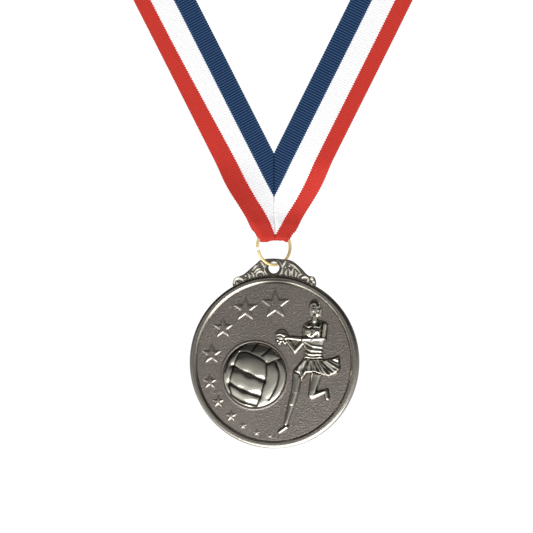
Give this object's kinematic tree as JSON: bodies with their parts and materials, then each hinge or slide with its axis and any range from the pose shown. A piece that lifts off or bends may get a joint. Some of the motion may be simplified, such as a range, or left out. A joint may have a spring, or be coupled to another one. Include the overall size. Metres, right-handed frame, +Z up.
{
  "type": "sports medal",
  "caption": "Round cast metal award medal with a pierced lug, hanging by a split ring from a striped neck ribbon with a mitred point.",
  "frame": {"origin": "where the ribbon crosses the back of the wearer's neck", "axes": "+Z up, the medal hangs below and in front with its face towards -Y, +X to the right seen from the front"},
  "size_m": [0.183, 0.1587, 0.3091],
  "materials": {
    "antique_nickel": "satin sandblasted field with polished relief",
    "gold_wire": "bright plated wire",
    "ribbon": "ribbed woven stripes of red, white and blue",
    "thread": "fine sewing thread"
  },
  "bodies": {
    "ribbon": {"neck_ribbon": "ribbon", "seam_thread": "thread"},
    "ring": {"ribbon_end": "ribbon", "end_thread": "thread", "jump_ring": "gold_wire"},
    "medal": {"medal": "antique_nickel"}
  },
  "joints": [
    {"name": "ring_swing", "type": "hinge", "parent": "ribbon", "child": "ring", "pos_m": [0, -0.147, -0.206], "axis": [0.766, 0.6428, 0], "range_deg": [-60, 60]},
    {"name": "medal_swing", "type": "hinge", "parent": "ring", "child": "medal", "pos_m": [0, -0.147, -0.2237], "axis": [0.766, 0.6428, 0], "range_deg": [-60, 60]}
  ]
}
